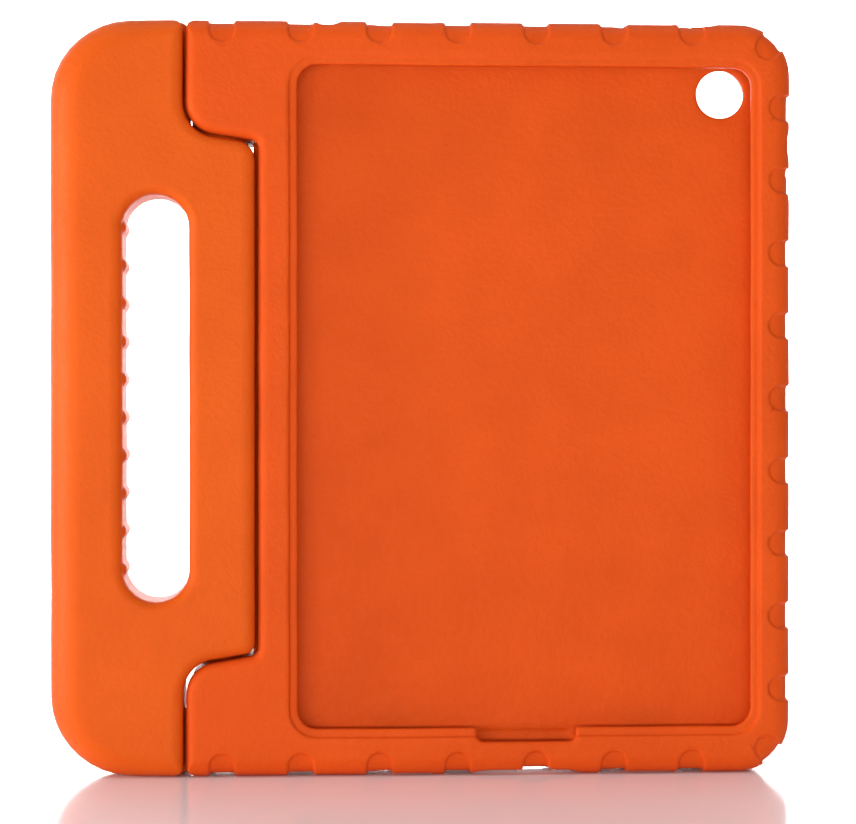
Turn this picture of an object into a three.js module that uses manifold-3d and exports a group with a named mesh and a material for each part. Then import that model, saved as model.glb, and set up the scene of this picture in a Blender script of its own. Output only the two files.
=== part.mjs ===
// Foam tablet case with a carrying handle that swings back on two hinge pins to become a stand.
// Millimetres. +X to the right seen from the front, +Y towards the back, +Z up. It stands on Z = 0.
import * as THREE from 'three';
import { mergeVertices } from 'three/addons/utils/BufferGeometryUtils.js';
import Module from 'manifold-3d';

// the tablet that the case holds
const TABLET_WIDTH = 174.1;
const TABLET_HEIGHT = 250.6;
const TABLET_THICKNESS = 6.1;
const TABLET_FIT = 0.3;

// foam tray
const THICKNESS = 28;
const WALL_RIGHT = 10.6;
const WALL_LEFT = 10.8;
const WALL_TOP = 10.8;
const WALL_BOTTOM = 14;
const LIP_RECESS = 1.5;
const LIP_THICKNESS = 2.5;
const LIP_OVERLAP = 3.3;
const LIP_OVERLAP_TOP = 5.9;
const LIP_OVERLAP_RIGHT = 4.5;
const LIP_WIDTH = 3;
const BODY_CORNER = 19;
const BODY_ROUND = 7;
const EDGE_ROUND = 3.5;
const BACK_PANEL_DEPTH = 3;
const BACK_PANEL_MARGIN = 22;

// swing handle
const ARM_WIDTH = 48.8;
const HANDLE_CORNER = 29;
const HANDLE_ROUND = 10;
const SLOT_WIDTH = 24;
const SLOT_LENGTH = 148;
const SLOT_INSET = 27;
const RIDGES = 10;
const RIDGE_PITCH = 13.85;
const RIDGE_RADIUS = 3.05;
const RIDGE_HEIGHT = 1.3;

// hinge
const GAP = 1.1;
const STEP = 1.8;
const ARM_STEP = 2.2;
const STEP_FROM_PIN = 10;
const LUG_WIDTH = 26.1;
const LUG_OUTER = 40.2;
const LUG_INNER = 44.3;
const LUG_CORNER = 11.5;
const LOWER_KNUCKLE = 8.5;
const NOTCH_CORNER = 3;
const TONGUE_CORNER = 7;
const PIN_TO_BACK = 8;
const PIN_RADIUS = 2.5;
const PIN_FIT = 0.08;
const BUSH_RADIUS = 5;
const FLANGE_RADIUS = 6.8;
const FLANGE_THICKNESS = 1.2;
const BUSH_LENGTH = 22;
const WASHER_FIT = 0.25;
const CAP_RADIUS = 3.5;
const CAP_THICKNESS = 3;
const CAP_RECESS = 1.7;
const NEST = 0.25;

// grip scallops moulded into the outer edges
const SCALLOP_WIDTH = 10;
const SCALLOP_REACH = 9;
const SCALLOP_DEPTH = 1;
const TOP_SCALLOPS = 7;
const SIDE_SCALLOPS = 9;
const SCALLOP_END = 31.2;

// openings for the tablet's own controls
const PORT_WIDTH = 36.5;
const PORT_NOTCH = 5;
const PORT_HEIGHT = 8;
const SPEAKER_LENGTH = 22;
const SPEAKER_HEIGHT = 4.5;
const SPEAKER_OFFSET = 44;
const HEADPHONE_RADIUS = 4.5;
const CAMERA_RADIUS = 8.5;
const PAD_LENGTH = 10;
const PAD_WIDTH = 6;
const PAD_FLANGE = 1.2;
const PAD_TRAVEL = 1.2;
const PAD_FIT = 0.4;
const PAD_SINK = 1.2;

// where things fall
const FRONT = -THICKNESS / 2;
const BACK = THICKNESS / 2;
const POCKET_WIDTH = TABLET_WIDTH + 2 * TABLET_FIT;
const POCKET_HEIGHT = TABLET_HEIGHT + 2 * TABLET_FIT;
const HEIGHT = WALL_BOTTOM + POCKET_HEIGHT + WALL_TOP;
const WIDTH = ARM_WIDTH + GAP + LUG_WIDTH + WALL_LEFT + POCKET_WIDTH + WALL_RIGHT;
const LEFT = -WIDTH / 2;
const RIGHT = WIDTH / 2;
const ARM_RIGHT = LEFT + ARM_WIDTH;
const LUG_LEFT = ARM_RIGHT + GAP;
const NOTCH_FACE = LUG_LEFT + LUG_WIDTH;
const TONGUE_RIGHT = NOTCH_FACE - GAP;
const AXIS_X = (LUG_LEFT + NOTCH_FACE) / 2;
const AXIS_Y = BACK - PIN_TO_BACK;
const POCKET = {
  left: RIGHT - WALL_RIGHT - POCKET_WIDTH,
  right: RIGHT - WALL_RIGHT,
  bottom: WALL_BOTTOM,
  top: WALL_BOTTOM + POCKET_HEIGHT,
  front: FRONT + LIP_RECESS + LIP_THICKNESS,
  back: FRONT + LIP_RECESS + LIP_THICKNESS + TABLET_THICKNESS + 0.8,
};
const TABLET_Y = (POCKET.front + POCKET.back) / 2;
const POCKET_MID_X = (POCKET.left + POCKET.right) / 2;
const LUG_SLOPE = (LUG_INNER - LUG_OUTER) / LUG_WIDTH;
const SLIT = GAP * Math.hypot(1, LUG_SLOPE);

const FOAM = { color: 0xe0591c, roughness: 0.85, metalness: 0 };
const FOAM_HANDLE = { color: 0xe45f1e, roughness: 0.85, metalness: 0 };
const NYLON = { color: 0x2b2b2e, roughness: 0.5, metalness: 0 };
const STEEL = { color: 0xb9bcc0, roughness: 0.35, metalness: 1 };
const PLUG = { color: 0xd04e16, roughness: 0.6, metalness: 0 };

const wasm = await Module();
wasm.setup();

function solid(geometry) {
  geometry.deleteAttribute('normal');
  geometry.deleteAttribute('uv');
  const merged = mergeVertices(geometry, 1e-4);
  const corners = [];
  for (let i = 0; i < merged.index.count; i += 3) {
    const [a, b, c] = [0, 1, 2].map((k) => merged.index.getX(i + k));
    if (a !== b && b !== c && c !== a) corners.push(a, b, c);
  }
  return new wasm.Manifold(new wasm.Mesh({
    numProp: 3,
    vertProperties: new Float32Array(merged.attributes.position.array),
    triVerts: new Uint32Array(corners),
  }));
}

// a closed outline from corners [x, z, radius], going round anticlockwise
function outline(corners) {
  const shape = new THREE.Shape();
  corners.forEach(([x, z, radius], i) => {
    const here = new THREE.Vector2(x, z);
    const before = corners[(i + corners.length - 1) % corners.length];
    const after = corners[(i + 1) % corners.length];
    const back = new THREE.Vector2(before[0], before[1]).sub(here).normalize();
    const on = new THREE.Vector2(after[0], after[1]).sub(here).normalize();
    const half = Math.acos(back.dot(on)) / 2;
    const start = here.clone().addScaledVector(back, radius / Math.tan(half));
    const end = here.clone().addScaledVector(on, radius / Math.tan(half));
    const centre = here.clone().addScaledVector(back.clone().add(on).normalize(), radius / Math.sin(half));
    const from = start.sub(centre).angle();
    const to = end.sub(centre).angle();
    shape.absarc(centre.x, centre.y, radius, from, to, back.cross(on) > 0);
  });
  shape.closePath();
  return shape;
}

function box2(left, bottom, right, top, radius) {
  return outline([[left, bottom, radius], [right, bottom, radius], [right, top, radius], [left, top, radius]]);
}

// an outline in X and Z made solid from one Y to another, its edges rounded by round
function slab(shape, yFront, yBack, round = 0, steps = 3, curveSegments = 3) {
  const geometry = new THREE.ExtrudeGeometry(shape, {
    depth: yBack - yFront - 2 * round,
    curveSegments,
    bevelEnabled: round > 0,
    bevelThickness: round,
    bevelSize: round,
    bevelOffset: -round,
    bevelSegments: steps,
  });
  geometry.rotateX(Math.PI / 2);
  geometry.translate(0, yBack - round, 0);
  return solid(geometry);
}

// an outline in X and Y (or, sideways, in Z and Y) made solid from one height to another
function post(shape, low, high, sideways = false) {
  const geometry = new THREE.ExtrudeGeometry(shape, { depth: high - low, curveSegments: 2, bevelEnabled: false });
  geometry.translate(0, 0, low);
  if (sideways) geometry.applyMatrix4(new THREE.Matrix4().set(0, 0, 1, 0, 0, 1, 0, 0, -1, 0, 0, 0, 0, 0, 0, 1));
  return solid(geometry);
}

// a turned piece on the line (x, y) from a closed profile of [radius, z]
function turned(profile, x = AXIS_X, y = AXIS_Y, segments = 24) {
  const points = [...profile, profile[0]].map(([radius, z]) => new THREE.Vector2(radius, z));
  const geometry = new THREE.LatheGeometry(points, segments);
  geometry.rotateX(Math.PI / 2);
  geometry.scale(1, -1, 1);
  geometry.index.array.reverse();
  geometry.translate(x, y, 0);
  return solid(geometry);
}

function rod(radius, low, high, x = AXIS_X, y = AXIS_Y, segments = 24) {
  const geometry = new THREE.CylinderGeometry(radius, radius, high - low, segments);
  geometry.rotateX(Math.PI / 2);
  geometry.translate(x, y, (low + high) / 2);
  return solid(geometry);
}

function block(x0, y0, z0, x1, y1, z1) {
  const geometry = new THREE.BoxGeometry(x1 - x0, y1 - y0, z1 - z0);
  geometry.translate((x0 + x1) / 2, (y0 + y1) / 2, (z0 + z1) / 2);
  return solid(geometry);
}

const flip = (piece) => piece.mirror([0, 0, 1]).translate([0, 0, HEIGHT]);

// the lower edge of the upper lug, and the tongue's edge one slit below it
const lugEdge = (x) => HEIGHT - LUG_OUTER - LUG_SLOPE * (x - LUG_LEFT);
const tongueEdge = (x) => lugEdge(x) - SLIT;
const TONGUE_FLAT = tongueEdge(TONGUE_RIGHT);
const LUG_SEAT = TONGUE_FLAT + GAP;
const STEP_Y = AXIS_Y - STEP_FROM_PIN;

// ---- foam tray ----
function trayShell(inset) {
  const lugs = outline([
    [LUG_LEFT + inset, inset, 4],
    [RIGHT - inset, inset, BODY_CORNER - inset],
    [RIGHT - inset, HEIGHT - inset, BODY_CORNER - inset],
    [LUG_LEFT + inset, HEIGHT - inset, 4],
    [LUG_LEFT + inset, lugEdge(LUG_LEFT), LUG_CORNER],
    [NOTCH_FACE, lugEdge(NOTCH_FACE), NOTCH_CORNER],
    [NOTCH_FACE, HEIGHT - lugEdge(NOTCH_FACE), NOTCH_CORNER],
    [LUG_LEFT + inset, HEIGHT - lugEdge(LUG_LEFT), LUG_CORNER],
  ]);
  const rim = outline([
    [LUG_LEFT - 30, inset, 15],
    [RIGHT - inset, inset, BODY_CORNER - inset],
    [RIGHT - inset, HEIGHT - inset, BODY_CORNER - inset],
    [LUG_LEFT - 30, HEIGHT - inset, 15],
  ]);
  const sharp = slab(lugs, FRONT + inset, BACK - inset, EDGE_ROUND, 2);
  return sharp.intersect(slab(rim, FRONT + inset, BACK - inset, BODY_ROUND, 3));
}

// a round-ended groove cutter: starts outside the edge at (x, z) and reaches in along angle
function scallop(x, z, angle, reach = SCALLOP_REACH) {
  const radius = SCALLOP_WIDTH / 2;
  const shape = new THREE.Shape();
  shape.moveTo(-6, -radius);
  shape.absarc(reach - radius, 0, radius, -Math.PI / 2, Math.PI / 2, false);
  shape.lineTo(-6, radius);
  shape.closePath();
  return slab(shape, FRONT - 1, BACK + 1, 0, 1, 3).rotate([0, -angle, 0]).translate([x, 0, z]);
}

const grooves = [];
for (let i = 0; i < TOP_SCALLOPS; i++) {
  const x = AXIS_X + ((RIGHT - 37.1 - AXIS_X) * i) / (TOP_SCALLOPS - 1);
  grooves.push(scallop(x, HEIGHT, -90));
  grooves.push(scallop(x, 0, 90));
}
for (let i = 0; i < SIDE_SCALLOPS; i++) {
  grooves.push(scallop(RIGHT, SCALLOP_END + ((HEIGHT - 2 * SCALLOP_END) * i) / (SIDE_SCALLOPS - 1), 180));
}
const diagonal = BODY_CORNER * (1 - Math.SQRT1_2);
grooves.push(scallop(RIGHT - diagonal, HEIGHT - diagonal, -135, SCALLOP_REACH + 1));
grooves.push(scallop(RIGHT - diagonal, diagonal, 135, SCALLOP_REACH + 1));

const windowCut = slab(
  box2(POCKET.left + LIP_OVERLAP + 0.3, POCKET.bottom + LIP_OVERLAP, POCKET.right - LIP_OVERLAP_RIGHT,
    POCKET.top - LIP_OVERLAP_TOP, 7), FRONT - 1, POCKET.back);
const lipCut = slab(
  box2(POCKET.left + LIP_OVERLAP - LIP_WIDTH + 0.3, POCKET.bottom + LIP_OVERLAP - LIP_WIDTH,
    POCKET.right - LIP_OVERLAP_RIGHT + LIP_WIDTH, POCKET.top - LIP_OVERLAP_TOP + LIP_WIDTH, 10),
  FRONT - 1, FRONT + LIP_RECESS);
const pocketCut = slab(box2(POCKET.left, POCKET.bottom, POCKET.right, POCKET.top, 8), POCKET.front, POCKET.back);
const panelCut = slab(
  box2(POCKET.left + BACK_PANEL_MARGIN, POCKET.bottom + BACK_PANEL_MARGIN, POCKET.right - BACK_PANEL_MARGIN,
    POCKET.top - BACK_PANEL_MARGIN, 14), BACK - BACK_PANEL_DEPTH, BACK + 1);

// charging port: a notch in the front lip, a slot through the bottom wall and a dip in the bottom edge
const notchCut = slab(
  box2(POCKET_MID_X - PORT_WIDTH / 2, POCKET.bottom + LIP_OVERLAP - PORT_NOTCH, POCKET_MID_X + PORT_WIDTH / 2,
    POCKET.bottom + LIP_OVERLAP + 8, 2.5), FRONT - 1, POCKET.back);
const portCut = post(
  box2(POCKET_MID_X - PORT_WIDTH / 2, TABLET_Y - PORT_HEIGHT / 2, POCKET_MID_X + PORT_WIDTH / 2,
    TABLET_Y + PORT_HEIGHT / 2, PORT_HEIGHT / 2 - 0.1), -1, POCKET.bottom + 1);
const dip = new THREE.Shape();
dip.moveTo(POCKET_MID_X - 24, -0.5);
dip.lineTo(POCKET_MID_X + 24, -0.5);
dip.lineTo(POCKET_MID_X + 20, 1);
dip.lineTo(POCKET_MID_X - 20, 1);
dip.closePath();
const dipCut = slab(dip, FRONT - 1, BACK + 1);

const speakerCuts = [-1, 1].flatMap((side) => {
  const x = POCKET_MID_X + side * SPEAKER_OFFSET;
  const shape = box2(x - SPEAKER_LENGTH / 2, TABLET_Y - SPEAKER_HEIGHT / 2, x + SPEAKER_LENGTH / 2,
    TABLET_Y + SPEAKER_HEIGHT / 2, SPEAKER_HEIGHT / 2 - 0.1);
  return [post(shape, -1, POCKET.bottom + 1), post(shape, POCKET.top - 1, HEIGHT + 1)];
});
const HEADPHONE_X = POCKET.left + 14.5;
const headphoneCut = rod(HEADPHONE_RADIUS, POCKET.top - 1, HEIGHT + 1, HEADPHONE_X, TABLET_Y);
const CAMERA_X = POCKET.right - 14.4;
const CAMERA_Z = POCKET.top - 14.4;
const cameraCone = new THREE.CylinderGeometry(CAMERA_RADIUS + 3.5, CAMERA_RADIUS, BACK + 2 - POCKET.back, 28);
cameraCone.translate(CAMERA_X, (BACK + POCKET.back) / 2, CAMERA_Z);
const cameraCut = solid(cameraCone);

// ---- press pads over the tablet's buttons, in stepped holes ----
function padOutline(u, v, grow) {
  return box2(u - PAD_LENGTH / 2 - grow, v - PAD_WIDTH / 2 - grow, u + PAD_LENGTH / 2 + grow,
    v + PAD_WIDTH / 2 + grow, PAD_WIDTH / 2 + grow - 0.1);
}
const PAD_SHOULDER = PAD_TRAVEL + 2 + PAD_FIT;
function padAndHole(u, inner, outer, sideways) {
  const centre = sideways ? -u : u;
  const at = (grow, low, high) => post(padOutline(centre, TABLET_Y, grow), low, high, sideways);
  const step = inner + PAD_SHOULDER;
  return {
    pad: at(0, step - 1, outer - PAD_SINK).add(at(PAD_FLANGE, step - PAD_FIT - 2, step - PAD_FIT)),
    hole: at(PAD_FIT, inner - 1, outer + 1).add(at(PAD_FLANGE + PAD_FIT, inner - 1, step)),
  };
}
const power = padAndHole(POCKET.right - 22, POCKET.top, HEIGHT, false);
const volumeUp = padAndHole(POCKET.top - 34, POCKET.right, RIGHT, true);
const volumeDown = padAndHole(POCKET.top - 49, POCKET.right, RIGHT, true);

// ---- hinge hardware, upper set; the lower set is its mirror ----
const lugBush = turned([
  [PIN_RADIUS + PIN_FIT, LUG_SEAT],
  [FLANGE_RADIUS, LUG_SEAT],
  [FLANGE_RADIUS, LUG_SEAT + FLANGE_THICKNESS],
  [BUSH_RADIUS, LUG_SEAT + FLANGE_THICKNESS],
  [BUSH_RADIUS, LUG_SEAT + BUSH_LENGTH],
  [PIN_RADIUS + PIN_FIT, LUG_SEAT + BUSH_LENGTH],
]);
const lugBore = rod(BUSH_RADIUS + NEST, LUG_SEAT - 3, LUG_SEAT + BUSH_LENGTH + NEST)
  .add(rod(FLANGE_RADIUS + NEST, LUG_SEAT - 3, LUG_SEAT + FLANGE_THICKNESS + NEST));
const handleBush = turned([
  [PIN_RADIUS + PIN_FIT, TONGUE_FLAT - BUSH_LENGTH],
  [BUSH_RADIUS, TONGUE_FLAT - BUSH_LENGTH],
  [BUSH_RADIUS, TONGUE_FLAT - FLANGE_THICKNESS],
  [FLANGE_RADIUS, TONGUE_FLAT - FLANGE_THICKNESS],
  [FLANGE_RADIUS, TONGUE_FLAT],
  [PIN_RADIUS + PIN_FIT, TONGUE_FLAT],
]);
const handleBore = rod(BUSH_RADIUS + NEST, TONGUE_FLAT - BUSH_LENGTH - 2, TONGUE_FLAT + 1)
  .add(rod(FLANGE_RADIUS + NEST, TONGUE_FLAT - FLANGE_THICKNESS - NEST, TONGUE_FLAT + 1));
const washer = turned([
  [PIN_RADIUS + PIN_FIT, TONGUE_FLAT + WASHER_FIT],
  [FLANGE_RADIUS - 0.3, TONGUE_FLAT + WASHER_FIT],
  [FLANGE_RADIUS - 0.3, LUG_SEAT - WASHER_FIT],
  [PIN_RADIUS + PIN_FIT, LUG_SEAT - WASHER_FIT],
]);
const CAP_TOP = HEIGHT - CAP_RECESS;
const PIN_TOP = CAP_TOP - CAP_THICKNESS - 0.3;
const PIN_LOW = TONGUE_FLAT - BUSH_LENGTH - 1;
const pin = turned([
  [0, PIN_LOW],
  [PIN_RADIUS - 0.6, PIN_LOW],
  [PIN_RADIUS, PIN_LOW + 0.6],
  [PIN_RADIUS, PIN_TOP - 0.6],
  [PIN_RADIUS - 0.6, PIN_TOP],
  [0, PIN_TOP],
]);
const cap = turned([
  [0, CAP_TOP - CAP_THICKNESS],
  [CAP_RADIUS, CAP_TOP - CAP_THICKNESS],
  [CAP_RADIUS, CAP_TOP - 0.6],
  [CAP_RADIUS - 0.6, CAP_TOP],
  [0, CAP_TOP],
]);
const pinBore = rod(PIN_RADIUS + NEST, LUG_SEAT, HEIGHT - 2)
  .add(rod(CAP_RADIUS + NEST, CAP_TOP - CAP_THICKNESS - NEST, HEIGHT + 1));

// Behind STEP_Y the upright gaps jog sideways, so that nothing shows through them. There each lug is
// narrower and its back is round about the pin, so that the handle's arm can pass it.
const lugStep = block(LUG_LEFT - 1, STEP_Y, -1, LUG_LEFT + STEP, BACK + 1, HEIGHT + 1);
const lugBack = block(LUG_LEFT - 1, AXIS_Y, -1, AXIS_X, BACK + 1, HEIGHT + 1)
  .subtract(rod(AXIS_X - LUG_LEFT - STEP, -2, HEIGHT + 2, AXIS_X, AXIS_Y, 48));
const notchLedge = slab(
  box2(NOTCH_FACE - STEP, HEIGHT - lugEdge(NOTCH_FACE) - 6, NOTCH_FACE + WALL_LEFT, lugEdge(NOTCH_FACE) + 6, 3.6),
  STEP_Y - 8, BACK, EDGE_ROUND, 2)
  .intersect(block(LUG_LEFT, STEP_Y + GAP, 0, POCKET.left + 1, BACK + 1, HEIGHT));

// each lug ends in a round knuckle that carries the sleeve's flange
const knuckle = (radius) => rod(radius, LUG_SEAT, lugEdge(LUG_LEFT) + LUG_CORNER, AXIS_X, AXIS_Y, 48)
  .intersect(block(LUG_LEFT, FRONT, 0, NOTCH_FACE + 1, BACK, HEIGHT));

let tray = trayShell(0);
const inner = trayShell(SCALLOP_DEPTH);
const groove = wasm.Manifold.union(grooves);
tray = tray.subtract(groove.subtract(inner));
tray = wasm.Manifold.union([tray, notchLedge, knuckle(AXIS_X - LUG_LEFT), flip(knuckle(LOWER_KNUCKLE))]);
tray = wasm.Manifold.difference([
  tray, windowCut, lipCut, pocketCut, panelCut, notchCut, portCut, dipCut, ...speakerCuts, headphoneCut,
  cameraCut, power.hole, volumeUp.hole, volumeDown.hole, lugStep, lugBack, lugBore, flip(lugBore), pinBore,
  flip(pinBore),
]);

// ---- swing handle ----
const SLOT_LEFT = LEFT + SLOT_INSET;
const SLOT_LOW = (HEIGHT - SLOT_LENGTH) / 2;
function handleLine(armRight) {
  const line = outline([
    [LEFT, 0, HANDLE_CORNER],
    [armRight, 0, 4],
    [armRight, HEIGHT - tongueEdge(armRight), LUG_CORNER + GAP],
    [TONGUE_RIGHT, HEIGHT - tongueEdge(TONGUE_RIGHT), NOTCH_CORNER + GAP],
    [TONGUE_RIGHT, tongueEdge(TONGUE_RIGHT), TONGUE_CORNER],
    [armRight, tongueEdge(armRight), LUG_CORNER + GAP],
    [armRight, HEIGHT, 4],
    [LEFT, HEIGHT, HANDLE_CORNER],
  ]);
  line.holes.push(
    box2(SLOT_LEFT, SLOT_LOW, SLOT_LEFT + SLOT_WIDTH, SLOT_LOW + SLOT_LENGTH, SLOT_WIDTH / 2 - 0.1));
  return line;
}
const handleRim = outline([
  [LEFT, 0, HANDLE_CORNER],
  [NOTCH_FACE + 30, 0, 15],
  [NOTCH_FACE + 30, HEIGHT, 15],
  [LEFT, HEIGHT, HANDLE_CORNER],
]);
const ridges = [];
for (let i = 0; i < RIDGES; i++) {
  const geometry = new THREE.CylinderGeometry(RIDGE_RADIUS, RIDGE_RADIUS, THICKNESS - 2 * EDGE_ROUND - 1, 16);
  geometry.translate(SLOT_LEFT + RIDGE_HEIGHT - RIDGE_RADIUS, 0, HEIGHT / 2 + (i - (RIDGES - 1) / 2) * RIDGE_PITCH);
  ridges.push(solid(geometry));
}

// Behind the front web the handle is cut square round each knuckle. Behind the step the arm reaches further
// in, the tongue is narrower and its back is round about the pin.
const SWING = AXIS_X - ARM_RIGHT;
const LEDGE_Y = STEP_Y + GAP;
const webTop = lugEdge(LUG_LEFT) + 16;
const webFront = block(ARM_RIGHT, AXIS_Y - SWING - 0.1, TONGUE_FLAT, TONGUE_RIGHT + 1, LEDGE_Y, webTop);
const webBack = block(ARM_RIGHT + ARM_STEP, LEDGE_Y - 1, TONGUE_FLAT, TONGUE_RIGHT + 1, BACK + 1, webTop);
const lowerWeb = block(ARM_RIGHT, AXIS_Y - SWING - 0.1, TONGUE_FLAT, TONGUE_RIGHT + 1, BACK + 1, webTop);
const tongueStep = block(TONGUE_RIGHT - STEP, STEP_Y, LUG_OUTER - 4, TONGUE_RIGHT + 1, BACK + 1,
  HEIGHT - LUG_OUTER + 4);
const tongueBack = block(AXIS_X, AXIS_Y, LUG_OUTER - 4, TONGUE_RIGHT + 1, BACK + 1, HEIGHT - LUG_OUTER + 4)
  .subtract(rod(TONGUE_RIGHT - STEP - AXIS_X, 0, HEIGHT, AXIS_X, AXIS_Y, 48));
const rimmed = (armRight) => slab(handleLine(armRight), FRONT, BACK, EDGE_ROUND, 2)
  .intersect(slab(handleRim, FRONT, BACK, HANDLE_ROUND, 5));
const armLedge = rimmed(ARM_RIGHT + ARM_STEP).intersect(block(AXIS_X - 30, LEDGE_Y, 0, AXIS_X, BACK, HEIGHT));
let grip = wasm.Manifold.union([rimmed(ARM_RIGHT), armLedge, ...ridges]);
grip = wasm.Manifold.difference([
  grip, webFront, webBack, flip(lowerWeb), tongueStep, tongueBack, handleBore, flip(handleBore),
]);

// ---- the assembly ----
const group = new THREE.Group();
group.name = 'tablet_case';
function place(name, piece, look) {
  const mesh = piece.getMesh();
  const geometry = new THREE.BufferGeometry();
  geometry.setAttribute('position', new THREE.BufferAttribute(Float32Array.from(mesh.vertProperties), 3));
  geometry.setIndex(new THREE.BufferAttribute(Uint32Array.from(mesh.triVerts), 1));
  const material = new THREE.MeshStandardMaterial(look);
  const node = new THREE.Mesh(geometry, material);
  node.name = name;
  group.add(node);
}

place('foam_body', tray, FOAM);
place('foam_handle', grip, FOAM_HANDLE);
place('upper_lug_bush', lugBush, NYLON);
place('lower_lug_bush', flip(lugBush), NYLON);
place('upper_handle_bush', handleBush, NYLON);
place('lower_handle_bush', flip(handleBush), NYLON);
place('upper_washer', washer, NYLON);
place('lower_washer', flip(washer), NYLON);
place('upper_hinge_pin', pin, STEEL);
place('lower_hinge_pin', flip(pin), STEEL);
place('upper_pin_cap', cap, PLUG);
place('lower_pin_cap', flip(cap), PLUG);
place('power_pad', power.pad, FOAM);
place('volume_up_pad', volumeUp.pad, FOAM);
place('volume_down_pad', volumeDown.pad, FOAM);

export default group;
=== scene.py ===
"""Foam tablet case with a swing-back carrying handle, standing upright on its bottom edge."""

import math

import bpy
import numpy as np
import openvdb
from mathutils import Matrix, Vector


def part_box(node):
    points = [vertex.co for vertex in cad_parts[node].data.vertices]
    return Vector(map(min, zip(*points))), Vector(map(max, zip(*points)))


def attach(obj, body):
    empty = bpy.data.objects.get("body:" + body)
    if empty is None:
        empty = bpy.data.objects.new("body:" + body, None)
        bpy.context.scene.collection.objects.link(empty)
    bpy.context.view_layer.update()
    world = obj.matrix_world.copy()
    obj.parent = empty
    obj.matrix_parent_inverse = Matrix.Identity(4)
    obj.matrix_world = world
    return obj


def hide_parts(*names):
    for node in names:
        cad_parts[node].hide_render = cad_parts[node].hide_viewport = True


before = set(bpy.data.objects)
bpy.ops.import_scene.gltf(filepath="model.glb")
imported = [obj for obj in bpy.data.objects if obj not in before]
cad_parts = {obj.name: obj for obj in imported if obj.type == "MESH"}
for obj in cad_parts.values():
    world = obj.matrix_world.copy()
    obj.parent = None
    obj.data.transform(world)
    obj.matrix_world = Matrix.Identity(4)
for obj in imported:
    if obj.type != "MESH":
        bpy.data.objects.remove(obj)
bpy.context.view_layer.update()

# Shapes are worked out in millimetres and made in metres.
MM = 0.001
VOXEL = 0.46
GROOVE_EDGE = 0.5
GROOVE_DEPTH = 1.1


def box_mm(node):
    low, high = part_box(node)
    return np.array(low) / MM, np.array(high) / MM


body_low, body_high = box_mm("foam_body")
grip_low, grip_high = box_mm("foam_handle")
pin_low, pin_high = box_mm("upper_hinge_pin")

HEIGHT = body_high[2]
HALF = body_high[1]
RIGHT = body_high[0]
LEFT = grip_low[0]
ARM_WIDTH = 48.8
GAP = 1.1
LUG_WIDTH = 26.1
ARM_RIGHT = LEFT + ARM_WIDTH
LUG_LEFT = ARM_RIGHT + GAP
NOTCH_FACE = LUG_LEFT + LUG_WIDTH
TONGUE_RIGHT = NOTCH_FACE - GAP
AXIS_X, AXIS_Y = (pin_low[0] + pin_high[0]) / 2, (pin_low[1] + pin_high[1]) / 2
LUG_OUTER, LUG_INNER = 40.2, 44.3
LUG_CORNER = 11.5
TRAY_CORNER = 19
GRIP_CORNER = 29
LUG_SLOPE = (LUG_INNER - LUG_OUTER) / LUG_WIDTH
POCKET_LEFT, POCKET_RIGHT = RIGHT - 10.6 - 174.7, RIGHT - 10.6
POCKET_LOW, POCKET_HIGH = 14.0, HEIGHT - 10.8
POCKET_FRONT, POCKET_BACK = -HALF + 4.0, -HALF + 10.9
TABLET_Y = (POCKET_FRONT + POCKET_BACK) / 2
MID_X = (POCKET_LEFT + POCKET_RIGHT) / 2


def lug_edge(x):
    return HEIGHT - LUG_OUTER - LUG_SLOPE * (x - LUG_LEFT)


def tongue_edge(x):
    return lug_edge(x) - GAP * math.hypot(1, LUG_SLOPE)


TONGUE_FLAT = tongue_edge(TONGUE_RIGHT)
LUG_SEAT = TONGUE_FLAT + GAP
STEP, ARM_STEP = 1.8, 2.2
STEP_Y = AXIS_Y - 10
TOP_SCALLOPS, SIDE_SCALLOPS = 7, 9
SCALLOP_RADIUS = 4.6
SCALLOP_OUT, SCALLOP_IN = 8, 4
FINGER_RIDGES, RIDGE_PITCH, RIDGE_RADIUS = 10, 13.85, 3.05
SLOT_RADIUS, SLOT_END = 12, 76.0
SLEEVE_BORE, FLANGE_BORE, PIN_BORE, CAP_BORE = 5.25, 7.05, 2.75, 3.75
BACK_PANEL_MARGIN, BACK_PANEL_DEPTH = 22, 3

# ---- distance fields ----


def rounded(corners, steps=9):
    """A closed outline from [u, v, radius] corners, with each corner as an arc."""
    points = []
    for i, (u, v, radius) in enumerate(corners):
        here = np.array([u, v], float)
        back = np.array(corners[i - 1][:2], float) - here
        on = np.array(corners[(i + 1) % len(corners)][:2], float) - here
        back /= np.linalg.norm(back)
        on /= np.linalg.norm(on)
        half = math.acos(np.clip(back @ on, -1, 1)) / 2
        centre = here + (back + on) / np.linalg.norm(back + on) * radius / math.sin(half)
        start = here + back * radius / math.tan(half) - centre
        end = here + on * radius / math.tan(half) - centre
        a = math.atan2(start[1], start[0])
        turn = (math.atan2(end[1], end[0]) - a + math.pi) % (2 * math.pi) - math.pi
        for t in np.linspace(0, 1, steps + 1):
            angle = a + turn * t
            points.append(centre + radius * np.array([math.cos(angle), math.sin(angle)]))
    return np.array(points)


def rectangle(left, low, right, high, radius):
    return rounded([[left, low, radius], [right, low, radius], [right, high, radius], [left, high, radius]])


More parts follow.
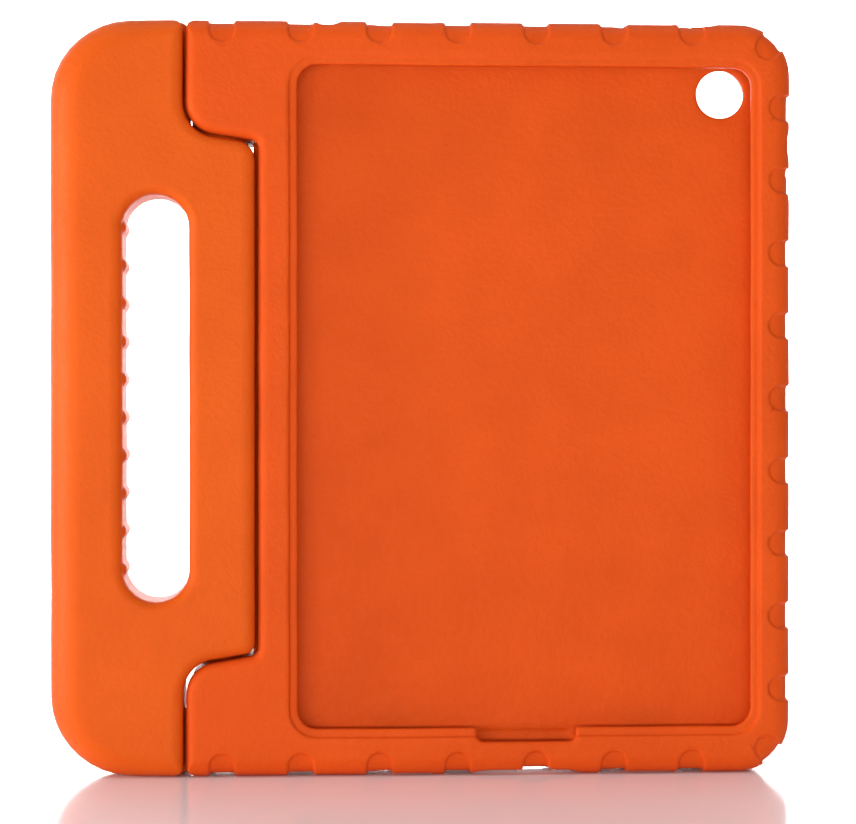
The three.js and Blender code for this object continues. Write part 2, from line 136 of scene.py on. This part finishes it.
def outline_distance(points, u, v):
    """Signed distance to an outline, negative inside."""
    u, v = np.broadcast_arrays(u, v)
    best = np.full(u.shape, 1e9)
    inside = np.zeros(u.shape, bool)
    for (au, av), (bu, bv) in zip(points, np.roll(points, -1, 0)):
        eu, ev = bu - au, bv - av
        size = eu * eu + ev * ev
        if size < 1e-12:
            continue
        t = np.clip(((u - au) * eu + (v - av) * ev) / size, 0, 1)
        best = np.minimum(best, (u - au - eu * t) ** 2 + (v - av - ev * t) ** 2)
        if ev != 0:
            inside ^= ((av > v) != (bv > v)) & (u < eu * (v - av) / ev + au)
    return (np.where(inside, -1, 1) * np.sqrt(best)).astype(np.float32)


def segment_distance(u, v, a, b):
    eu, ev = b[0] - a[0], b[1] - a[1]
    t = np.clip(((u - a[0]) * eu + (v - a[1]) * ev) / (eu * eu + ev * ev), 0, 1)
    return np.hypot(u - a[0] - eu * t, v - a[1] - ev * t)


def soft_max(a, b, k):
    h = np.maximum(k - np.abs(a - b), 0) / k
    return np.maximum(a, b) + h * h * (k / 4)


def soft_min(a, b, k):
    return -soft_max(-a, -b, k)


def cut(field, cutter, k=0.8):
    return soft_max(field, -cutter, k)


def slab(flat, along, half, radius):
    """An outline given thickness, with its edges rounded by radius."""
    u = flat + radius
    w = np.abs(along) - half + radius
    return np.minimum(np.maximum(u, w), 0) + np.hypot(np.maximum(u, 0), np.maximum(w, 0)) - radius


def soften(field):
    """One light smoothing pass, which takes the hard line off every moulded edge."""
    for axis in range(3):
        f = np.moveaxis(field, axis, 0)
        out = f.copy()
        out[1:-1] = 0.17 * f[:-2] + 0.66 * f[1:-1] + 0.17 * f[2:]
        field = np.moveaxis(out, 0, axis)
    return np.ascontiguousarray(field, dtype=np.float32)


def grid(low, high, step):
    pad = 4 * step
    x, y, z = [np.arange(low[i] - pad, high[i] + pad, step, dtype=np.float32) for i in range(3)]
    return x[:, None, None], y[None, :, None], z[None, None, :]


def skin(name, field, axes, step, adaptivity=0.012):
    """The zero surface of a field as a smooth-shaded mesh object in metres."""
    band = 3 * step
    volume = openvdb.FloatGrid(band)
    volume.copyFromArray(np.clip(field, -band, band).astype(np.float32))
    points, triangles, quads = volume.convertToPolygons(isovalue=0.0, adaptivity=adaptivity)
    points = np.asarray(points, float)
    start = np.array([float(a.ravel()[0]) for a in axes])
    triangles, quads = np.asarray(triangles, int).reshape(-1, 3), np.asarray(quads, int).reshape(-1, 4)
    slopes = np.stack(np.gradient(field), -1)
    cell = np.clip(points.astype(int), 0, np.array(field.shape) - 2)
    part = points - cell
    normals = np.zeros((len(points), 3))
    for corner in range(8):
        offset = np.array([corner & 1, corner >> 1 & 1, corner >> 2 & 1])
        weight = np.prod(np.where(offset, part, 1 - part), axis=1)
        i, j, k = (cell + offset).T
        normals += slopes[i, j, k] * weight[:, None]
    normals /= np.maximum(np.linalg.norm(normals, axis=1), 1e-9)[:, None]
    a, b, c = (points[quads[:, i]] for i in (0, 1, 2))
    facing = (np.cross(b - a, c - a) * normals[quads[:, 0]]).sum()
    if facing < 0:
        quads, triangles = quads[:, ::-1], triangles[:, ::-1]
    co = (points * step + start) * MM
    mesh = bpy.data.meshes.new(name)
    mesh.from_pydata(co.tolist(), [], triangles.tolist() + quads.tolist())
    mesh.validate()
    mesh.update()
    mesh.shade_smooth()
    if len(mesh.vertices) == len(normals):
        mesh.normals_split_custom_set_from_vertices(normals.tolist())
    o = bpy.data.objects.new(name, mesh)
    bpy.context.scene.collection.objects.link(o)
    return o


def wander(x, y, z):
    """The slight unevenness of moulded foam, about a tenth of a millimetre, fading out at its ends."""
    waves = (0.05 * np.sin(x / 17.0 + 0.7) * np.sin(z / 23.0) + 0.04 * np.sin(x / 7.3 + z / 9.1 + 1.3)
             + 0.03 * np.sin(z / 5.7 - x / 11.0 + y / 6.0))
    return waves * np.clip((np.minimum(z, HEIGHT - z) - 1) / 8, 0, 1)


# ---- foam tray ----


def capsule(u, v, centre_u, centre_v, length, width, grow=0.0):
    reach = (length - width) / 2
    ends = (centre_u - reach, centre_v), (centre_u + reach, centre_v)
    return segment_distance(u, v, *ends) - width / 2 - grow


def scallop_lines():
    """Where each scallop starts outside the edge and where its round end is centred."""
    lines = []
    for i in range(TOP_SCALLOPS):
        x = AXIS_X + (RIGHT - 37.1 - AXIS_X) * i / (TOP_SCALLOPS - 1)
        lines.append(((x, HEIGHT + SCALLOP_OUT), (x, HEIGHT - SCALLOP_IN)))
        lines.append(((x, -SCALLOP_OUT), (x, SCALLOP_IN)))
    for i in range(SIDE_SCALLOPS):
        z = 31.2 + (HEIGHT - 62.4) * i / (SIDE_SCALLOPS - 1)
        lines.append(((RIGHT + SCALLOP_OUT, z), (RIGHT - SCALLOP_IN, z)))
    # the two corner scallops run along the diagonal and reach 1 mm further in
    diagonal = math.sqrt(0.5)
    inset = TRAY_CORNER * (1 - diagonal)
    x = RIGHT - inset
    out, reach = SCALLOP_OUT * diagonal, (SCALLOP_IN + 1) * diagonal
    for z, sign in ((HEIGHT - inset, -1), (inset, 1)):
        lines.append(((x + out, z - out * sign), (x - reach, z + reach * sign)))
    return lines


def make_body():
    axes = grid(body_low, body_high, VOXEL)
    x, y, z = axes
    line = rounded([
        [LUG_LEFT, 0, 4], [RIGHT, 0, TRAY_CORNER], [RIGHT, HEIGHT, TRAY_CORNER], [LUG_LEFT, HEIGHT, 4],
        [LUG_LEFT, lug_edge(LUG_LEFT), LUG_CORNER], [NOTCH_FACE, lug_edge(NOTCH_FACE), 3],
        [NOTCH_FACE, HEIGHT - lug_edge(NOTCH_FACE), 3],
        [LUG_LEFT, HEIGHT - lug_edge(LUG_LEFT), LUG_CORNER]])
    rim = rounded([[LUG_LEFT - 30, 0, 15], [RIGHT, 0, TRAY_CORNER], [RIGHT, HEIGHT, TRAY_CORNER],
                   [LUG_LEFT - 30, HEIGHT, 15]])
    shell = np.maximum(slab(outline_distance(line, x, z), y, HALF, 3.5),
                       slab(outline_distance(rim, x, z), y, HALF, 7.0))
    grooves = None
    for outer, inner in scallop_lines():
        d = segment_distance(x, z, outer, inner) - SCALLOP_RADIUS
        grooves = d if grooves is None else np.minimum(grooves, d)
    field = cut(shell, np.maximum(grooves, -(shell + GROOVE_DEPTH)), GROOVE_EDGE)

    # behind STEP_Y the notch has a ledge, and each lug ends in a round knuckle
    across = np.hypot(x - AXIS_X, y - AXIS_Y)
    ledge_top = lug_edge(NOTCH_FACE) + 6
    ledge_line = rectangle(NOTCH_FACE - STEP, HEIGHT - ledge_top, NOTCH_FACE + 10.8, ledge_top, 3.6)
    ledge = slab(outline_distance(ledge_line, x, z), y, HALF, 3.5)
    field = np.minimum(field, np.maximum(ledge, STEP_Y + GAP - y))
    top = lug_edge(LUG_LEFT) + LUG_CORNER
    for radius, up in ((AXIS_X - LUG_LEFT, z), (8.5, HEIGHT - z)):
        knuckle = np.maximum(np.maximum(across - radius, LUG_SEAT - up), np.maximum(up - top, y - HALF))
        field = np.minimum(field, knuckle)

    window = outline_distance(rectangle(POCKET_LEFT + 3.6, POCKET_LOW + 3.3, POCKET_RIGHT - 4.5,
                                        POCKET_HIGH - 5.9, 7), x, z)
    lip = outline_distance(rectangle(POCKET_LEFT + 0.6, POCKET_LOW + 0.3, POCKET_RIGHT - 1.5,
                                     POCKET_HIGH - 2.9, 10), x, z)
    # along the top the lip's step fades to a faint line
    fade = np.clip((z - POCKET_HIGH + 20) / 14, 0, 1)
    recess = 1.5 - 1.0 * fade * fade * (3 - 2 * fade)
    pocket = outline_distance(rectangle(POCKET_LEFT, POCKET_LOW, POCKET_RIGHT, POCKET_HIGH, 8), x, z)
    field = cut(field, np.maximum(lip, y + HALF - recess), 0.6)
    field = cut(field, np.maximum(window, y - TABLET_Y), 0.8)
    field = cut(field, np.maximum(pocket, np.abs(y - TABLET_Y) - (POCKET_BACK - POCKET_FRONT) / 2), 0.6)

    notch = outline_distance(rectangle(MID_X - 18.25, POCKET_LOW - 1.7, MID_X + 18.25,
                                       POCKET_LOW + 12, 2.5), x, z)
    field = cut(field, np.maximum(notch, y - TABLET_Y), 1.2)
    port = capsule(x, y, MID_X, TABLET_Y, 36.5, 8.0)
    field = cut(field, np.maximum(port, z - POCKET_LOW - 1), 1.4)
    dip = outline_distance(rounded([[MID_X - 24, -6, 1], [MID_X + 24, -6, 1], [MID_X + 20, 1, 5],
                                    [MID_X - 20, 1, 5]]), x, z)
    field = cut(field, dip + 0 * y, 0.8)
    for side in (-1, 1):
        holes = capsule(x, y, MID_X + side * 44, TABLET_Y, 22, 4.5)
        field = cut(field, np.maximum(holes, np.minimum(z - POCKET_LOW - 1, POCKET_HIGH - 1 - z)), 1.0)
    headphone = np.hypot(x - POCKET_LEFT - 14.5, y - TABLET_Y) - 4.5
    field = cut(field, np.maximum(headphone, POCKET_HIGH - 1 - z), 1.2)
    from_lens = np.hypot(x - POCKET_RIGHT + 14.4, z - POCKET_HIGH + 14.4)
    lens_cone = from_lens - 8.5 - 3.5 * np.clip((y - POCKET_BACK) / (HALF - POCKET_BACK), 0, 1.2)
    field = cut(field, np.maximum(lens_cone, TABLET_Y - y), 1.4)
    margin = BACK_PANEL_MARGIN
    panel = outline_distance(rectangle(POCKET_LEFT + margin, POCKET_LOW + margin, POCKET_RIGHT - margin,
                                       POCKET_HIGH - margin, 14), x, z)
    field = cut(field, np.maximum(panel, HALF - BACK_PANEL_DEPTH - y), 2.4)

    # stepped holes for the three press pads
    pads = ((POCKET_RIGHT - 22, x, z, POCKET_HIGH), (POCKET_HIGH - 34, z, x, POCKET_RIGHT),
            (POCKET_HIGH - 49, z, x, POCKET_RIGHT))
    for centre, u, w, wall in pads:
        stem = capsule(u, y, centre, TABLET_Y, 10, 6, 0.4)
        flange = capsule(u, y, centre, TABLET_Y, 10, 6, 1.6)
        hole = np.minimum(np.maximum(stem, wall - 1 - w), np.maximum(flange, np.abs(w - wall - 1.3) - 2.3))
        field = cut(field, hole, 0.5)

    # hinge: lug backs round about the pin, and the bores for the sleeves, pins and caps
    beyond = np.maximum(np.maximum(x - AXIS_X, AXIS_Y - y), AXIS_X - LUG_LEFT - STEP - across)
    field = np.maximum(field, -beyond)
    field = cut(field, np.maximum(x - LUG_LEFT - STEP, STEP_Y - y), 0.6)
    up = np.maximum(z, HEIGHT - z)
    field = cut(field, np.maximum(across - SLEEVE_BORE, np.abs(up - LUG_SEAT - 9.6) - 12.6), 0.4)
    field = cut(field, np.maximum(across - FLANGE_BORE, np.abs(up - LUG_SEAT + 0.8) - 2.25), 0.4)
    field = cut(field, np.maximum(across - PIN_BORE, LUG_SEAT - up), 0.3)
    field = cut(field, np.maximum(across - CAP_BORE, HEIGHT - 4.95 - up), 0.5)
    field = soften(np.broadcast_to(field + wander(x, y, z),
                                   np.broadcast_shapes(x.shape, y.shape, z.shape)))
    return skin("foam_tray", field, axes, VOXEL)


# ---- swing handle ----


def make_grip():
    axes = grid(grip_low, grip_high, VOXEL)
    x, y, z = axes
    concave = LUG_CORNER + GAP
    lines = []
    for arm_right in (ARM_RIGHT, ARM_RIGHT + ARM_STEP):
        edge = tongue_edge(arm_right)
        lines.append(rounded([
            [LEFT, 0, GRIP_CORNER], [arm_right, 0, 4], [arm_right, HEIGHT - edge, concave],
            [TONGUE_RIGHT, HEIGHT - TONGUE_FLAT, 3 + GAP], [TONGUE_RIGHT, TONGUE_FLAT, 7],
            [arm_right, edge, concave], [arm_right, HEIGHT, 4], [LEFT, HEIGHT, GRIP_CORNER]]))
    rim = rounded([[LEFT, 0, GRIP_CORNER], [NOTCH_FACE + 30, 0, 15], [NOTCH_FACE + 30, HEIGHT, 15],
                   [LEFT, HEIGHT, GRIP_CORNER]])
    flat, flat_behind = (outline_distance(line, x, z) for line in lines)
    slot_left = LEFT + 27
    slot_x = slot_left + SLOT_RADIUS
    slot = segment_distance(x, z, (slot_x, SLOT_END), (slot_x, HEIGHT - SLOT_END)) - SLOT_RADIUS
    outer = outline_distance(rim, x, z)
    # the outer edge is a full round; towards the arms' ends it tightens to the tray's own rounding
    side = np.clip((ARM_RIGHT - x) / ARM_WIDTH, 0, 1)
    radius = 7.0 + 6.5 * side * side * (3 - 2 * side)
    front = slab(np.maximum(flat, -slot), y, HALF, 3.6)
    behind = np.maximum(slab(np.maximum(flat_behind, -slot), y, HALF, 3.6), STEP_Y + GAP - y)
    field = np.maximum(np.minimum(front, behind), slab(outer, y, HALF, radius))
    for i in range(FINGER_RIDGES):
        centre = HEIGHT / 2 + (i - (FINGER_RIDGES - 1) / 2) * RIDGE_PITCH
        ridge = np.hypot(x - (slot_left + 1.3 - RIDGE_RADIUS), z - centre) - RIDGE_RADIUS
        field = soft_min(field, slab(ridge, y, HALF - 3.4, 1.6), 0.5)

    swing = AXIS_X - ARM_RIGHT
    up = np.maximum(z, HEIGHT - z)
    web_top = lug_edge(LUG_LEFT) + 16
    web_left = ARM_RIGHT + ARM_STEP * (y > STEP_Y + GAP) * (z > HEIGHT / 2) + 0 * z
    web = np.maximum(np.maximum(web_left - x, TONGUE_FLAT - up),
                     np.maximum(AXIS_Y - swing - 0.1 - y, up - web_top))
    field = cut(field, web, 0.5)
    field = cut(field, np.maximum(TONGUE_RIGHT - STEP - x, STEP_Y - y) + 0 * z, 0.6)
    across = np.hypot(x - AXIS_X, y - AXIS_Y)
    beyond = np.maximum(np.maximum(AXIS_X - x, AXIS_Y - y), TONGUE_RIGHT - STEP - AXIS_X - across)
    field = np.maximum(field, -beyond)
    field = cut(field, np.maximum(across - SLEEVE_BORE, np.abs(up - TONGUE_FLAT + 11) - 13), 0.4)
    field = cut(field, np.maximum(across - FLANGE_BORE, TONGUE_FLAT - 1.45 - up), 0.4)
    field = soften(np.broadcast_to(field + wander(x + 40, y, z),
                                   np.broadcast_shapes(x.shape, y.shape, z.shape)))
    return skin("foam_grip", field, axes, VOXEL)


# ---- press pads ----


def make_pad(node):
    low, high = box_mm(node)
    step = 0.28
    axes = grid(low, high, step)
    x, y, z = axes
    middle = (low + high) / 2
    if node == "power_pad":
        u, w, inner, outer = x - middle[0], z, low[2], high[2]
    else:
        u, w, inner, outer = z - middle[2], x, low[0], high[0]
    stem = slab(capsule(u, y, 0, middle[1], 10, 6), w - (inner + 1 + outer) / 2, (outer - inner - 1) / 2, 0.9)
    flange = slab(capsule(u, y, 0, middle[1], 10, 6, 1.2), w - inner - 1, 1.0, 0.4)
    dimple = np.sqrt((u / 2.0) ** 2 + (y - middle[1]) ** 2 + (w - outer - 1.6) ** 2) - 2.1
    field = soft_min(stem, flange, 0.5)
    field = cut(field, dimple, 0.5)
    field = soften(np.broadcast_to(field, np.broadcast_shapes(x.shape, y.shape, z.shape)))
    return skin(node + "_skin", field, axes, step, 0.0)


# ---- turned hinge parts ----


def turned(name, profile, steps=72):
    """A ring or a rod on the hinge axis from a closed [radius, height] profile, corners eased by 0.25 mm."""
    eased = []
    for i, point in enumerate(profile):
        here = np.array(point, float)
        before, after = np.array(profile[i - 1], float), np.array(profile[(i + 1) % len(profile)], float)
        if here[0] < 1e-6:
            eased.append(here)
            continue
        back, on = before - here, after - here
        ease = min(0.25, np.linalg.norm(back) / 3, np.linalg.norm(on) / 3)
        back, on = back / np.linalg.norm(back) * ease, on / np.linalg.norm(on) * ease
        eased += [here + back, here + (back + on) * 0.29, here + on]
    vertices, rings = [], []
    for radius, height in eased:
        if radius < 1e-6:
            rings.append([len(vertices)] * steps)
            vertices.append((AXIS_X * MM, AXIS_Y * MM, height * MM))
            continue
        rings.append(list(range(len(vertices), len(vertices) + steps)))
        for i in range(steps):
            a = 2 * math.pi * i / steps
            x, y = AXIS_X + radius * math.cos(a), AXIS_Y + radius * math.sin(a)
            vertices.append((x * MM, y * MM, height * MM))
    faces = []
    for ring, other in zip(rings, rings[1:] + rings[:1]):
        if len(set(ring)) == 1 and len(set(other)) == 1:
            continue
        for i in range(steps):
            j = (i + 1) % steps
            face = []
            for v in (ring[i], ring[j], other[j], other[i]):
                if v not in face:
                    face.append(v)
            faces.append(face)
    mesh = bpy.data.meshes.new(name)
    mesh.from_pydata(vertices, [], faces)
    mesh.update()
    mesh.shade_smooth()
    mesh.set_sharp_from_angle(angle=math.radians(40))
    o = bpy.data.objects.new(name, mesh)
    bpy.context.scene.collection.objects.link(o)
    return o


def flanged(seat, under, end):
    """A sleeve's profile: a flange from seat to under, and a plain tube on to end."""
    return [[2.6, seat], [6.8, seat], [6.8, under], [5.0, under], [5.0, end], [2.6, end]]


def hinge_parts(side):
    """The sleeve, pin, washer and cap of one hinge, sized by their CAD boxes."""
    made = {}

    def span(part):
        low, high = box_mm(f"{side}_{part}")
        return low[2], high[2]

    up = side == "upper"
    low, high = span("lug_bush")
    seat = low if up else high
    step = 1.2 if up else -1.2
    end = high if up else low
    made["lug_bush"] = flanged(seat, seat + step, end)
    low, high = span("handle_bush")
    seat, end = (high, low) if up else (low, high)
    made["handle_bush"] = flanged(seat, seat - step, end)
    low, high = span("washer")
    made["washer"] = [[2.6, low], [6.5, low], [6.5, high], [2.6, high]]
    low, high = span("hinge_pin")
    made["hinge_pin"] = [[0, low], [1.9, low], [2.5, low + 0.6], [2.5, high - 0.6], [1.9, high], [0, high]]
    low, high = span("pin_cap")
    made["pin_cap"] = [[0, low], [3.1, low], [3.5, low + 0.5], [3.5, high - 0.5], [3.1, high], [0, high]]
    return {part: turned(f"{side}_{part}_turned", profile) for part, profile in made.items()}


# ---- materials ----


def new_material(name):
    material = bpy.data.materials.new(name)
    material.use_nodes = True
    tree = material.node_tree
    tree.nodes.clear()
    out = tree.nodes.new("ShaderNodeOutputMaterial")
    shader = tree.nodes.new("ShaderNodeBsdfPrincipled")
    tree.links.new(shader.outputs["BSDF"], out.inputs["Surface"])
    return material, tree, shader


def add(tree, kind, **values):
    node = tree.nodes.new(kind)
    for key, value in values.items():
        if key in node.inputs:
            node.inputs[key].default_value = value
        else:
            setattr(node, key, value)
    return node


def noise(tree, place, scale, detail=2.0, rough=0.5):
    node = add(tree, "ShaderNodeTexNoise")
    node.inputs["Scale"].default_value = scale
    node.inputs["Detail"].default_value = detail
    node.inputs["Roughness"].default_value = rough
    tree.links.new(place.outputs["Object"], node.inputs["Vector"])
    return node.outputs["Fac"]


def ramp(tree, value, low, high, a, b):
    node = add(tree, "ShaderNodeMapRange")
    node.inputs["From Min"].default_value = low
    node.inputs["From Max"].default_value = high
    node.inputs["To Min"].default_value = a
    node.inputs["To Max"].default_value = b
    tree.links.new(value, node.inputs["Value"])
    return node.outputs["Result"]


def blend_colour(tree, factor, a, b):
    node = tree.nodes.new("ShaderNodeMix")
    node.data_type = "RGBA"
    colour_a = [s for s in node.inputs if s.name == "A" and s.type == "RGBA"][0]
    colour_b = [s for s in node.inputs if s.name == "B" and s.type == "RGBA"][0]
    for socket, value in ((colour_a, a), (colour_b, b)):
        if isinstance(value, bpy.types.NodeSocket):
            tree.links.new(value, socket)
        else:
            socket.default_value = (*value, 1)
    tree.links.new(factor, node.inputs["Factor"])
    return [s for s in node.outputs if s.type == "RGBA"][0]


def foam(name, light, dark):
    """Moulded closed-cell foam: slight mottling, a fine pebbled skin and an uneven dull sheen."""
    material, tree, shader = new_material(name)
    place = tree.nodes.new("ShaderNodeTexCoord")
    broad = noise(tree, place, 38, 3.0)
    cells = add(tree, "ShaderNodeTexVoronoi", feature="SMOOTH_F1")
    cells.inputs["Scale"].default_value = 900
    tree.links.new(place.outputs["Object"], cells.inputs["Vector"])
    fine = noise(tree, place, 2600, 3.0, 0.6)
    middle = noise(tree, place, 420, 2.0)
    colour = blend_colour(tree, ramp(tree, broad, 0.3, 0.7, 0, 1), light, dark)
    speck = ramp(tree, fine, 0.25, 0.75, 0, 0.16)
    colour = blend_colour(tree, speck, colour, tuple(c * 0.62 for c in dark))
    tree.links.new(colour, shader.inputs["Base Color"])
    tree.links.new(ramp(tree, middle, 0.3, 0.7, 0.46, 0.6), shader.inputs["Roughness"])
    shader.inputs["Specular IOR Level"].default_value = 0.3
    shader.inputs["Specular Tint"].default_value = (1.0, 0.55, 0.3, 1)
    height = tree.nodes.new("ShaderNodeMath")
    height.operation = "ADD"
    tree.links.new(ramp(tree, cells.outputs["Distance"], 0.0, 0.7, 0, 0.7), height.inputs[0])
    tree.links.new(fine, height.inputs[1])
    bump = add(tree, "ShaderNodeBump")
    bump.inputs["Strength"].default_value = 0.22
    bump.inputs["Distance"].default_value = 0.00035
    tree.links.new(height.outputs[0], bump.inputs["Height"])
    wave = add(tree, "ShaderNodeBump")
    wave.inputs["Strength"].default_value = 0.12
    wave.inputs["Distance"].default_value = 0.0015
    tree.links.new(middle, wave.inputs["Height"])
    tree.links.new(bump.outputs["Normal"], wave.inputs["Normal"])
    tree.links.new(wave.outputs["Normal"], shader.inputs["Normal"])
    return material


def hard(name, colour, metallic, rough_low, rough_high, lines=False):
    """Turned steel or moulded plastic, with fine marks."""
    material, tree, shader = new_material(name)
    place = tree.nodes.new("ShaderNodeTexCoord")
    if lines:
        stretch = tree.nodes.new("ShaderNodeMapping")
        stretch.inputs["Scale"].default_value = (0.05, 0.05, 1.0)
        tree.links.new(place.outputs["Object"], stretch.inputs["Vector"])
        marks = add(tree, "ShaderNodeTexNoise")
        marks.inputs["Scale"].default_value = 6000
        tree.links.new(stretch.outputs["Vector"], marks.inputs["Vector"])
        marks = marks.outputs["Fac"]
    else:
        marks = noise(tree, place, 1500, 3.0)
    colour = blend_colour(tree, ramp(tree, marks, 0.3, 0.7, 0, 1), colour, tuple(c * 0.8 for c in colour))
    tree.links.new(colour, shader.inputs["Base Color"])
    shader.inputs["Metallic"].default_value = metallic
    tree.links.new(ramp(tree, marks, 0.3, 0.7, rough_low, rough_high), shader.inputs["Roughness"])
    bump = add(tree, "ShaderNodeBump")
    bump.inputs["Strength"].default_value = 0.1
    bump.inputs["Distance"].default_value = 0.0001
    tree.links.new(marks, bump.inputs["Height"])
    tree.links.new(bump.outputs["Normal"], shader.inputs["Normal"])
    return material


BODY_FOAM = foam("body_foam_look", (0.72, 0.079, 0.006), (0.66, 0.070, 0.005))
GRIP_FOAM = foam("handle_foam_look", (0.72, 0.097, 0.006), (0.66, 0.087, 0.005))
NYLON = hard("bush_nylon_look", (0.03, 0.03, 0.034), 0.0, 0.42, 0.58)
ACETAL = hard("washer_nylon_look", (0.55, 0.55, 0.52), 0.0, 0.38, 0.5)
STEEL = hard("pin_steel_look", (0.52, 0.52, 0.54), 1.0, 0.24, 0.42, lines=True)
CAP = hard("cap_plastic_look", (0.62, 0.085, 0.011), 0.0, 0.4, 0.55)


def finish_piece(o, material, body, slot, *nodes):
    o.data.materials.clear()
    o.data.materials.append(material)
    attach(o, body)
    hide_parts(*nodes)
    return o


tray = finish_piece(make_body(), BODY_FOAM, "case", "body_foam", "foam_body")
grip = finish_piece(make_grip(), GRIP_FOAM, "handle", "handle_foam", "foam_handle")
for pad, pad_body in (("power_pad", "power_button"), ("volume_up_pad", "volume_up_button"),
                      ("volume_down_pad", "volume_down_button")):
    button = finish_piece(make_pad(pad), BODY_FOAM, pad_body, "body_foam", pad)
LOOKS = {
    "lug_bush": (NYLON, "case", "bush_nylon"), "handle_bush": (NYLON, "handle", "bush_nylon"),
    "washer": (ACETAL, "case", "washer_nylon"), "hinge_pin": (STEEL, "case", "pin_steel"),
    "pin_cap": (CAP, "case", "cap_plastic")}
for side in ("upper", "lower"):
    for part, o in hinge_parts(side).items():
        material, body, slot = LOOKS[part]
        finish_piece(o, material, body, slot, f"{side}_{part}")

# ---- floor, light and camera ----


def studio_floor():
    """A pale glossy floor that sweeps up into the background behind the case."""
    profile = [(-2.6, 0.0), (1.1, 0.0)]
    for i in range(1, 17):
        a = math.pi / 2 * i / 16
        profile.append((1.1 + 0.9 * math.sin(a), 0.9 - 0.9 * math.cos(a)))
    profile.append((2.0, 4.0))
    vertices, faces = [], []
    for y, z in profile:
        vertices += [(-3.5, y, z), (3.5, y, z)]
    for i in range(len(profile) - 1):
        faces.append((2 * i, 2 * i + 1, 2 * i + 3, 2 * i + 2))
    mesh = bpy.data.meshes.new("studio_floor")
    mesh.from_pydata(vertices, [], faces)
    mesh.update()
    mesh.shade_smooth()
    o = bpy.data.objects.new("studio_floor", mesh)
    bpy.context.scene.collection.objects.link(o)
    material, tree, shader = new_material("studio_floor_look")
    shader.inputs["Base Color"].default_value = (0.97, 0.965, 0.985, 1)
    shader.inputs["Roughness"].default_value = 0.14
    shader.inputs["Specular IOR Level"].default_value = 0.45
    o.data.materials.append(material)


def area(name, place, target, width, height, power):
    data = bpy.data.lights.new(name, "AREA")
    data.shape = "RECTANGLE"
    data.size, data.size_y = width, height
    data.energy = power
    o = bpy.data.objects.new(name, data)
    o.location = place
    o.rotation_euler = (Vector(target) - Vector(place)).to_track_quat("-Z", "Y").to_euler()
    bpy.context.scene.collection.objects.link(o)


studio_floor()
centre = (0, 0, 0.138)
area("key", (-1.6, -0.25, 0.15), centre, 0.5, 0.5, 21)
area("front", (-0.3, -2.0, 0.25), centre, 1.0, 0.4, 3.2)
area("low", (-0.3, -1.2, 0.06), (0, 0, 0.04), 1.6, 0.1, 8.5)
area("right", (1.5, -1.2, 0.5), centre, 0.12, 0.9, 2)
area("top", (0.0, -0.2, 1.7), (0, 0, 0), 1.6, 1.2, 10)
area("backdrop", (0.0, 0.9, 0.9), (0, 2.0, 0.6), 2.4, 1.2, 98)
world = bpy.data.worlds.new("studio")
bpy.context.scene.world = world
world.use_nodes = True
world.node_tree.nodes["Background"].inputs["Color"].default_value = (1, 1, 1, 1)
world.node_tree.nodes["Background"].inputs["Strength"].default_value = 0.25
bpy.context.scene.view_settings.view_transform = "Standard"

camera_data = bpy.data.cameras.new("camera")
camera = bpy.data.objects.new("camera", camera_data)
bpy.context.scene.collection.objects.link(camera)
bpy.context.scene.camera = camera
camera_data.sensor_width = 36
camera_data.lens = 96.5
camera_data.clip_start, camera_data.clip_end = 0.05, 20
YAW = math.radians(3.0)
DISTANCE = 0.85
camera.location = (-DISTANCE * math.sin(YAW), -DISTANCE * math.cos(YAW), 0.138)
aim = Vector((0.0026, 0.0, 0.1329))
camera.rotation_euler = (aim - camera.location).to_track_quat("-Z", "Y").to_euler()
